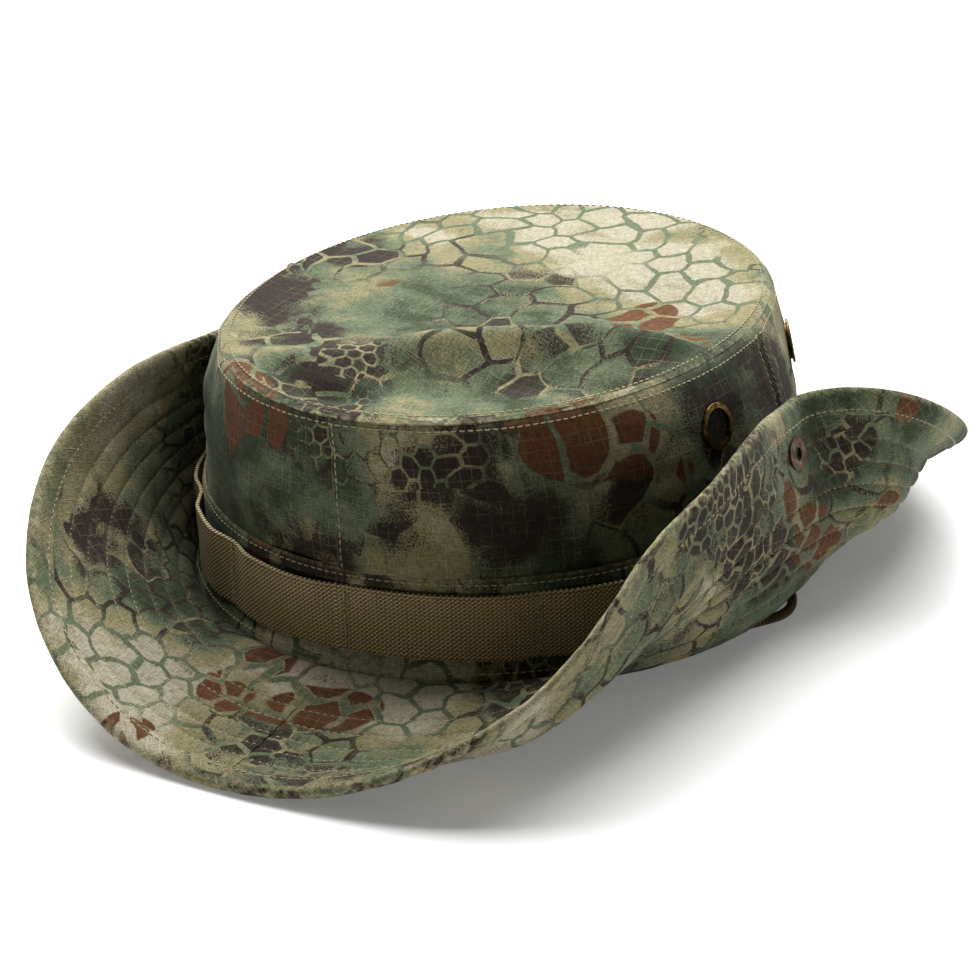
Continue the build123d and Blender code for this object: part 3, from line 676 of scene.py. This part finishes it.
line.use_endpoint_u = True
line.resolution_u = 12
curve.bevel_depth = 1.5 * MM
curve.bevel_resolution = 3
curve.materials.append(cord_look)
chin_cord = bpy.data.objects.new("cord_braid", curve)
bpy.context.scene.collection.objects.link(chin_cord)
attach(chin_cord, "root")
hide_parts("chin_cord")

# ---- CAD pieces that keep their shape get their materials ----
FINISHES = {
    "vent_ring": brass, "vent_washer": brass, "snap_cap": snap_finish, "snap_socket": snap_finish,
    "snap_stud": snap_finish, "stud_ring": snap_finish, "cord_lock_body": plastic,
    "cord_lock_plunger": plastic,
}
for start, finish in FINISHES.items():
    for label, node in nodes.items():
        if label.startswith(start):
            node.data.materials.clear()
            node.data.materials.append(finish)


def place(made, slot, *stands_for, body="root"):
    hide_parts(*stands_for)
    if body:
        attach(made, body)
    return made


# ---- spring of the cord lock: one wire ----
SPRING_WIRE, SPRING_TURNS, SPRING_STEPS = 0.25, 4, 24  # steps to a turn
low, high = (np.array(corner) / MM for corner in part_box("cord_lock_spring"))
middle, radius = (low + high) / 2, (high - low)[2] / 2 - SPRING_WIRE
steps = SPRING_STEPS * SPRING_TURNS
turn, ring = grid(0, math.tau * SPRING_TURNS, steps + 1, 0, math.tau, 9)
outwards = np.stack([0 * turn, np.cos(turn), np.sin(turn)], -1)
spring_points = middle + (radius + SPRING_WIRE * np.cos(ring))[..., None] * outwards
spring_length = high[0] - low[0] - 2 * SPRING_WIRE
along = low[0] + SPRING_WIRE + spring_length * turn / turn.max()
spring_points[..., 0] = along + SPRING_WIRE * np.sin(ring)
count = spring_points.shape[1]
start = (np.arange(steps)[:, None] * count + np.arange(count - 1)).ravel()
spring = mesh_object(
    "lock_spring_wire", spring_points.reshape(-1, 3),
    np.stack([start, start + 1, start + 1 + count, start + count], 1), steel,
)
place(spring, "spring_steel", "cord_lock_spring")
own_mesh(spring)


# ---- crown sides ----
def crumple(t, h):
    """How far the crown's cloth stands out from its smooth form."""
    p = crown(t, h)
    loose = ease(h, 20, 40) * ease(h, CROWN_HEIGHT, 66)
    out = loose * (1.5 * noise(p, 42, 11) + 0.9 * noise(p, 17, 12))
    flat = np.stack([t * 0.8, h * 2.2, 0 * h], -1)
    out = out + (0.35 * noise(p, 9, 13) + 0.45 * noise(flat, 10, 14)) * ease(h, 8, 20)
    for stud in (STUD_ANGLE, 180 - STUD_ANGLE):
        away = np.linalg.norm(p - crown(np.asarray(stud), np.asarray(STUD_HEIGHT)), axis=-1)
        out = out * (1 - bell(away, 14)) + 4.55 * bell(away, 8.5)
    for vent in VENT_ANGLES.values():
        away = np.linalg.norm(p - crown(np.asarray(vent), np.asarray(VENT_HEIGHT)), axis=-1)
        out = out * (1 - bell(away, 13))
    return out


def rolled_seam(distance, pinch=0.9, ridge=0.35):
    """A seam's section: pinched in at the line, then raised over the turned-in edges."""
    return ridge * bell(distance - 3.2, 2.4) - pinch * bell(distance, 1.1)


SEAM_REACH = 93.0  # the crown's mean radius, to measure from its upright seams


def crown_side(t, h):
    out = crumple(t, h) + rolled_seam(CROWN_HEIGHT - h, 1.3, 0.45)
    for seam in (-90.0, SIDE_SEAM, 180 - SIDE_SEAM, 270.0):
        away = np.abs(np.radians(t - seam)) * SEAM_REACH
        out = out + rolled_seam(away, 0.55, 0.3) * ease(h, 79, 74)
    return crown(t, h, out)


SIDE_FOOT, SIDE_STEP = 5, 1.3  # where the side panels start, and the size of a face
PANELS = {  # node, first and last angle, and where the panel lies on the cloth
    "crown_cloth_front_left": ("crown_side_front_left", -90, SIDE_SEAM, 0),
    "crown_cloth_rear": ("crown_side_rear", SIDE_SEAM, 180 - SIDE_SEAM, 140),
    "crown_cloth_front_right": ("crown_side_front_right", 180 - SIDE_SEAM, 270, 310),
}
ROUND = 93.4 * math.pi / 180  # millimetres of cloth per degree round the crown
for name, (node, start, stop, shift) in PANELS.items():
    count = int((stop - start) * ROUND / SIDE_STEP)
    t, h = grid(start, stop, count, SIDE_FOOT, CROWN_HEIGHT, 58)
    uv = np.stack([t * ROUND + shift, h], -1)
    wear = 0.5 * bell(CROWN_HEIGHT - h, 1.2) + 0.25 * bell(np.minimum(t - start, stop - t) * ROUND, 1.0)
    made = cloth(name, crown_side(t, h), uv, crown_camo, CROWN_CLOTH, wear=wear)
    place(made, "camo_ripstop", node)


# ---- crown top ----
def top_sag(x, y):
    """The top panel's front third slopes down to the front, below a soft fold across it."""
    p = np.stack([x, y, 0 * x], -1)
    fold = -14 - 0.72 * np.clip(36 - x, 0, None)
    ahead = fold - y
    front = -7.5 * ease(ahead, -2, 28) * ease(x, -70, -25)
    crest = 4.6 * bell(ahead, 9) * ease(x, -35, 5)
    behind = -2.2 * bell(ahead + 34, 22)
    across = np.stack([x * 0.35 + y * 0.2, y - 0.3 * x, 0 * x], -1)
    creases = 1.6 * noise(across, 9, 23) * bell(ahead - 16, 18)
    uneven = 1.0 * noise(p, 30, 21) + 0.3 * noise(p, 12, 22)
    return front + crest + behind + creases + uneven


a, b = grid(-1, 1, 131, -1, 1, 131)
disc_x, disc_y = a * np.sqrt(1 - b * b / 2), b * np.sqrt(1 - a * a / 2)
reach = np.hypot(disc_x, disc_y)
top_x, top_y = TOP_HALF_WIDTH * disc_x, TOP_HALF_LENGTH * disc_y
inset = (1 - reach) * TOP_RADIUS
rim = ease(inset, 0, 16)
top_z = SEAM_Z + TOP_HEIGHT + rim * top_sag(top_x, top_y) + rolled_seam(inset, 0.9, 0.5)
top_points = np.stack([top_x, top_y - CROWN_LEANS, top_z], -1)
top_cloth = cloth(
    "crown_top_cloth", top_points, np.stack([top_x + 260, top_y + 40], -1), top_camo, CROWN_CLOTH,
    wear=0.55 * bell(inset, 1.3),
)
place(top_cloth, "camo_ripstop", "crown_top")


# ---- stitching of the crown ----
def crown_row(t, h, out=0.0, surface=crown_side):
    p = surface(t, h)
    outward = crown(t, h, 1.0) - crown(t, h)
    return stitch_row(p + outward * out, outward)


SIDE_ROW, TOP_ROW = 75.4, 2.6  # height of the row below the top seam, and inset of the one on top
around = np.linspace(-90, 270, 1200)
upright = np.linspace(31, 76, 90)
rows = [crown_row(around, np.full_like(around, SIDE_ROW))]
for seam in (SIDE_SEAM, 180 - SIDE_SEAM):
    for away in (-1.9, 2.3):
        rows.append(crown_row(np.full_like(upright, seam + away / ROUND), upright))
rows.append(crown_row(np.full_like(upright, -90 + 1.9 / ROUND), upright))
top_t = np.radians(np.linspace(0, 360, 1000))
inner = 1 - TOP_ROW / TOP_RADIUS
edge_x, edge_y = TOP_HALF_WIDTH * np.cos(top_t) * inner, TOP_HALF_LENGTH * np.sin(top_t) * inner
edge_z = SEAM_Z + TOP_HEIGHT + rolled_seam(TOP_ROW, 0.9, 0.5)
edge_path = np.stack([edge_x, edge_y - CROWN_LEANS, np.full_like(edge_x, edge_z)], 1)
rows.append(stitch_row(edge_path, np.tile([0, 0, 1.0], (len(edge_path), 1))))
stitches("crown_stitching", rows)


# ---- band: folded at its top and foot ----
BAND_ROWS = (29.2, 2.9)


def band_surface(t, h):
    flare = 3.75 * ease(h, 7, 1.1)
    p = crown(t, h)
    wave = 0.25 * noise(p, 22, 31) + 0.12 * noise(p, 7, 32)
    fold = -0.5 * bell(BAND_TOP - h, 0.7) - 0.4 * bell(h - 1.1, 0.7)
    groove = -0.25 * sum(bell(h - row, 0.6) for row in BAND_ROWS)
    return crown(t, h, 1.05 + flare + wave + fold + groove)


def ring_cloth(name, surface, low, high, material, thickness, columns=600, rows_up=24, shift=0,
               wear=None):
    """A closed band of cloth round the crown, from height low to height high."""
    t, h = grid(-90, 270 - 360 / columns, columns, low, high, rows_up)
    uv = np.stack([t * ROUND + shift, h], -1)
    worn = None if wear is None else wear(t, h)
    return cloth(name, surface(t, h), uv, material, thickness, closed=True, wear=worn)


band = ring_cloth(
    "band_cloth", band_surface, BAND_FOOT, BAND_TOP, band_camo, 0.7, rows_up=36, shift=60,
    wear=lambda t, h: 0.5 * bell(BAND_TOP - h, 0.8) + 0.4 * bell(h - 0.6, 0.8),
)
place(band, "camo_ripstop", "crown_band")
rows = [crown_row(around, np.full_like(around, row), 0.05, band_surface) for row in BAND_ROWS]
stitches("band_stitching", rows)

# ---- branch loop webbing ----
BARTACKS = [-118.0, -88.0, -53.0, -20.0, 14.0, 48.0, 82.0, 118.0, 152.0, 188.0, 218.0]
WEBBING_FOOT, WEBBING_TOP = 6.5, 26.5
WEBBING_COLUMNS, WEBBING_ROWS = 1180, 49
WEAVE_PITCH, WEAVE_ROW = 1.62, 1.3


def weave_rise(u, v):
    """Height of the staggered pips of the weave, 0 to 1."""
    u, v = math.pi * u / WEAVE_PITCH, math.pi * v / WEAVE_ROW
    first = np.cos(u) ** 2 * np.cos(v) ** 2
    second = np.sin(u) ** 2 * np.sin(v) ** 2
    return np.maximum(first, second)


def webbing_surface(t, h):
    gaps = np.min([np.abs((t - tack + 180) % 360 - 180) for tack in BARTACKS], axis=0) * ROUND
    p = crown(t, h)
    bow = ease(gaps, 1.5, 12) * (1.2 + 1.0 * noise(p, 34, 41))
    ripple = 0.55 * noise(p, 14, 42)
    pinch = -0.35 * bell(gaps, 1.2)
    edge = ease(h, WEBBING_FOOT, 8.0) * ease(h, WEBBING_TOP, 25.0)
    rise = weave_rise(t * ROUND, h)
    out = 2.3 + bow + ripple + pinch + 0.36 * (rise - 0.5) * (0.4 + 0.6 * edge)
    scallop = 0.22 * np.cos(math.tau * t * ROUND / WEAVE_PITCH) * (1 - edge) * np.sign(h - 16)
    sway = 0.5 * noise(p, 30, 43)
    return crown(t, h + scallop + sway, out)


webbing = ring_cloth(
    "branch_loops", webbing_surface, WEBBING_FOOT, WEBBING_TOP, webbing_look, 1.1,
    columns=WEBBING_COLUMNS, rows_up=WEBBING_ROWS,
)
t, h = grid(
    -90, 270 - 360 / WEBBING_COLUMNS, WEBBING_COLUMNS, WEBBING_FOOT, WEBBING_TOP, WEBBING_ROWS
)
attribute(webbing, "rise", np.tile(weave_rise(t * ROUND, h).ravel(), 2))
place(webbing, "olive_webbing", "branch_loop_webbing")
rows = []
for tack in BARTACKS:
    for shift in (-0.45, 0.45):
        h = np.linspace(7.2, 25.8, 60)
        t = np.full_like(h, tack + shift / ROUND) + 0.12 * np.sin(h * 3)
        outward = crown(t, h, 1.0) - crown(t, h)
        rows.append(stitch_row(webbing_surface(t, h) + 0.25 * outward, outward, 1.25, 1.2, 0.55))
stitches("webbing_bartacks", rows)

# ---- brim ----
BRIM_START, BRIM_STOP = -3.2, 61.0  # the two plies, out from the seam
ROWS = [6.8 * k for k in range(1, 8)]
BINDING_ROW, BINDING_EDGE, BINDING_FACE = 56.0, 62.9, 1.62
BINDING_SECTION = np.array([  # distance out from the seam, and height over the brim's middle
    (54.4, 1.62), (55.0, 1.78), (56.0, 1.62), (57.2, 1.95), (58.8, 2.05), (60.4, 1.95), (61.8, 1.6),
    (62.6, 1.0), (62.9, 0.3), (62.9, -0.3), (62.6, -1.0), (61.8, -1.6), (60.4, -1.95), (58.8, -2.05),
    (57.2, -1.95), (56.0, -1.62), (55.0, -1.78), (54.4, -1.62),
])
BIAS = 0.7071  # the binding is cut at 45 degrees


def quilted(t, d):
    """Height of the padding between the rows of stitches, 0 at a row, with small puckers."""
    edges = np.array([0.0, *ROWS, BRIM_STOP])
    k = np.clip(np.searchsorted(edges, d, side="right") - 1, 0, len(edges) - 2)
    across = (d - edges[k]) / (edges[k + 1] - edges[k])
    tube = np.sqrt(np.clip(1 - (2 * across - 1) ** 2, 0, 1))
    flat = brim(t, d)
    run = np.stack([t * 1.9 + 3 * k, 0 * t, k * 40.0], -1)
    pucker = noise(run, 5.5, 51) * 0.5 + noise(run, 2.6, 52) * 0.3
    strength = 0.35 + 0.65 * lift(t)
    return tube * (0.65 + 0.6 * strength + 0.55 * pucker * strength) + 0.1 * noise(flat, 4, 53)


def sway(t, d):
    """Slow waves of the whole brim; both sides stand out from the crown except at the snap."""
    loose = ease(d, 6, 34)
    a = folded(t)
    held = bell(np.hypot((a + 2) * 1.75, np.asarray(d) - 48.4), 10)
    out = 3.4 * (bell(a - 14, 9) + 0.8 * bell(a + 17, 10)) * loose
    waves = (0.9 * noise(brim(t, d), 38, 54) + 0.4 * noise(brim(t, d), 19, 55)) * loose
    return (waves - out) * (1 - held)


def brim_top(t, d, extra=0.0):
    return brim(t, d, 0.5 + quilted(t, d) + sway(t, d) + extra)


def brim_foot(t, d, extra=0.0):
    return brim(t, d, -0.5 - quilted(t, d) + sway(t, d) - extra)


def brim_middle(t, d):
    return brim(t, d, 0.22 + sway(t, d))


def flat_brim(t, d, shift):
    """Where a point of the brim lies on its flat cloth."""
    a = np.radians(t)
    return np.stack([
        (SEAM_HALF_WIDTH + d) * np.cos(a) + shift,
        (SEAM_HALF_LENGTH + d) * np.sin(a),
    ], -1)


def binding_points(t):
    """The binding's section swept round the brim."""
    tt = np.repeat(t[:, None], len(BINDING_SECTION), 1)
    dd = np.repeat(BINDING_SECTION[None, :, 0], len(t), 0)
    up = np.repeat(BINDING_SECTION[None, :, 1], len(t), 0)
    run = np.stack([t * 2.6, 0 * t, 0 * t], -1)
    swell = 1 + 0.10 * noise(run, 4, 61)[:, None] + 0.06 * noise(run, 1.7, 62)[:, None]
    return brim(tt, dd, up * swell + sway(tt, dd))


for side, start, sign in (("left", -90, 1), ("right", 90, -1)):
    t, d = grid(start, start + 180, 330, BRIM_START, BRIM_STOP, 132)
    seam_wear = sum(0.25 * bell(d - row, 0.9) for row in ROWS)
    upper = cloth(
        f"brim_upper_cloth_{side}", brim_top(t, d)[::-1], flat_brim(t, d, 600)[::-1], brim_camo,
        BRIM_CLOTH, wear=seam_wear[::-1],
    )
    place(upper, "camo_ripstop", f"brim_upper_{side}", f"brim_upper_{side}_flap", body=None)
    under = cloth(
        f"brim_under_cloth_{side}", brim_foot(t, d), flat_brim(t, d, 1200), brim_camo, BRIM_CLOTH,
        wear=seam_wear,
    )
    place(under, "camo_ripstop", f"brim_under_{side}", f"brim_under_{side}_flap", body=None)
    coarse_t, coarse_d = grid(start, start + 180, 150, 0.5, 60.5, 40)
    lining = cloth(
        f"brim_interlining_{side}", brim_middle(coarse_t, coarse_d)[::-1],
        flat_brim(coarse_t, coarse_d, 0)[::-1], felt, 0.44,
    )
    place(lining, "interlining", f"brim_stiffener_{side}", f"brim_stiffener_{side}_flap", body=None)
    t = np.linspace(start, start + 180, 340)
    out, height = BINDING_SECTION.T
    steps = np.linalg.norm(np.diff(BINDING_SECTION, axis=0), axis=1)
    across = np.concatenate([[0], np.cumsum(steps)])
    run = np.stack(np.meshgrid(t * 2.55, across, indexing="ij"), -1)
    uv = run @ np.array([[BIAS, BIAS], [-BIAS, BIAS]]) + 900
    edge_wear = 0.6 * bell(out - BINDING_EDGE, 1.2) + 0.3 * bell(np.abs(height) - BINDING_FACE, 0.2)
    binding = cloth(
        f"brim_binding_cloth_{side}", binding_points(t)[::-1], uv[::-1], binding_camo, 0.4,
        wear=np.tile(edge_wear, (len(t), 1)),
    )
    place(binding, "camo_ripstop", f"brim_binding_{side}", f"brim_binding_{side}_flap", body=None)
    fine = np.linspace(start + 0.3, start + 179.7, 900)
    rows = []
    for surface, sense in ((brim_top, 1), (brim_foot, -1)):
        for row in (*ROWS, BINDING_ROW):
            d = np.full_like(fine, row)
            normal = sense * (brim(fine, d, 1.0) - brim(fine, d))
            if row == BINDING_ROW:
                path = brim(fine, d, sense * (BINDING_FACE + 0.06) + sway(fine, d))
            else:
                path = surface(fine, d, 0.04)
            rows.append(stitch_row(path, normal))
    quilting = stitches(f"brim_stitching_{side}", rows, body=None)
    for made in (upper, under, lining, binding, quilting):
        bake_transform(made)


# ---- inside the crown: sweatband, tape over the top seam, tabs for the cord ----
def inner_surface(out, seed):
    """The surface of a ring that lies inside the crown, out from the crown's smooth form."""
    def surface(t, h):
        flare = 3.3 * ease(h, 7, 1.1)
        return crown(t, h, out + flare + 0.05 * noise(crown(t, h), 15, seed))
    return surface


sweatband = ring_cloth(
    "sweatband_cloth", inner_surface(-0.95, 71), 1.2, 34, twill, BRIM_CLOTH, columns=360
)
place(sweatband, "olive_twill", "sweatband")
tape = ring_cloth(
    "top_seam_tape_cloth", inner_surface(-1.3, 72), 68, 77, twill, BRIM_CLOTH, columns=300, rows_up=8
)
place(tape, "olive_twill", "top_seam_tape")


def tab(name, node):
    """A folded loop of twill, stitched across, that grips the end of the cord."""
    low, high = (np.array(corner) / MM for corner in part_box(node))
    middle, size = (low + high) / 2, high - low
    u, v = grid(0, 1, 44, 0, 1, 15)
    a = math.tau * u
    x = middle[0] - size[0] / 2 * np.sin(a) * (1 - 0.22 * bell(v - 0.5, 0.07))
    squash = np.sign(np.cos(a)) * np.abs(np.cos(a)) ** 0.45
    y = middle[1] + size[1] / 2 * squash
    z = low[2] + v * size[2]
    p = np.stack([x, y, z], -1)[:-1]
    uv = np.stack([u * 26, v * 16], -1)[:-1]
    made = cloth(name, p[::-1], uv[::-1], twill, 0.5, closed=True)
    place(made, "olive_twill", node)


for side in ("left", "right"):
    tab(f"cord_tab_cloth_{side}", f"cord_tab_{side}")

# ---- woven screens in the vents ----
SCREEN_PITCH, SCREEN_RADIUS = 0.78, 5.15
WIRE_RADIUS, WIRE_SIDES, WIRE_STEP = 0.17, 5, 0.26


def screen_wires(middle, along, upward, face):
    """Wires both ways, each waving over and under the ones it crosses."""
    vertices, faces = [], []
    for direction in (0, 1):
        first, second = (along, upward) if direction == 0 else (upward, along)
        for k in range(-6, 7):
            offset = k * SCREEN_PITCH
            half = math.sqrt(max(SCREEN_RADIUS**2 - offset**2, 0))
            if half < 1:
                continue
            s = np.linspace(-half, half, int(half * 2 / WIRE_STEP))
            bob = WIRE_RADIUS * np.cos(math.pi * (s / SCREEN_PITCH + k + direction))
            line_points = middle + s[:, None] * first + offset * second + bob[:, None] * face
            base = len(vertices)
            for step, point in enumerate(line_points):
                for q in range(WIRE_SIDES):
                    a = math.tau * q / WIRE_SIDES
                    vertices.append(point + WIRE_RADIUS * (math.cos(a) * second + math.sin(a) * face))
                if step:
                    b = base + step * WIRE_SIDES
                    c = b - WIRE_SIDES
                    for q in range(WIRE_SIDES):
                        after = (q + 1) % WIRE_SIDES
                        faces.append([c + q, c + after, b + after, b + q])
    return vertices, faces


for vent, angle in VENT_ANGLES.items():
    low, high = (np.array(corner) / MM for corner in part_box(f"vent_screen_{vent}"))
    t, h = np.asarray(angle), np.asarray(VENT_HEIGHT)
    along = crown(t + 1, h) - crown(t - 1, h)
    upward = crown(t, h + 1) - crown(t, h - 1)
    along /= np.linalg.norm(along)
    face = np.cross(along, upward)
    face /= np.linalg.norm(face)
    vertices, faces = screen_wires((low + high) / 2, along, np.cross(face, along), face)
    screen = mesh_object(f"screen_{vent}", vertices, faces, mesh_look)
    place(screen, "vent_mesh", f"vent_screen_{vent}")

# ---- floor and light ----
FLOOR_REACH = 4000
FLOOR_GLOW, WORLD_LIGHT = 0.15, 0.1
floor_shader = Shader("floor", roughness=0.28, specular=0.25)
floor_shader.finish((0.93, 0.93, 0.93, 1))
floor_shader.surface.inputs["Emission Color"].default_value = (1, 1, 1, 1)
floor_shader.surface.inputs["Emission Strength"].default_value = FLOOR_GLOW
floor_corners = [(x * FLOOR_REACH, y * FLOOR_REACH, 0) for x, y in ((-1, -1), (1, -1), (1, 1), (-1, 1))]
floor = mesh_object("floor", floor_corners, [[0, 1, 2, 3]], floor_shader.material)

world = bpy.data.worlds.new("studio")
world.use_nodes = True
world.node_tree.nodes["Background"].inputs[0].default_value = (1, 1, 1, 1)
world.node_tree.nodes["Background"].inputs[1].default_value = WORLD_LIGHT
bpy.context.scene.world = world

spot, target = Vector((-0.5, 1.0, 1.7)), Vector((0, 0.1, 0))
light = bpy.data.lights.new("overhead", "AREA")
light.shape = "RECTANGLE"
light.size, light.size_y, light.energy = 2.8, 2.2, 112
softbox = bpy.data.objects.new("overhead", light)
softbox.location = spot
softbox.rotation_mode = "QUATERNION"
softbox.rotation_quaternion = (target - spot).to_track_quat("-Z", "Y")
bpy.context.scene.collection.objects.link(softbox)
bpy.context.scene.view_settings.view_transform = "Standard"
bpy.context.scene.view_settings.look = "Medium High Contrast"
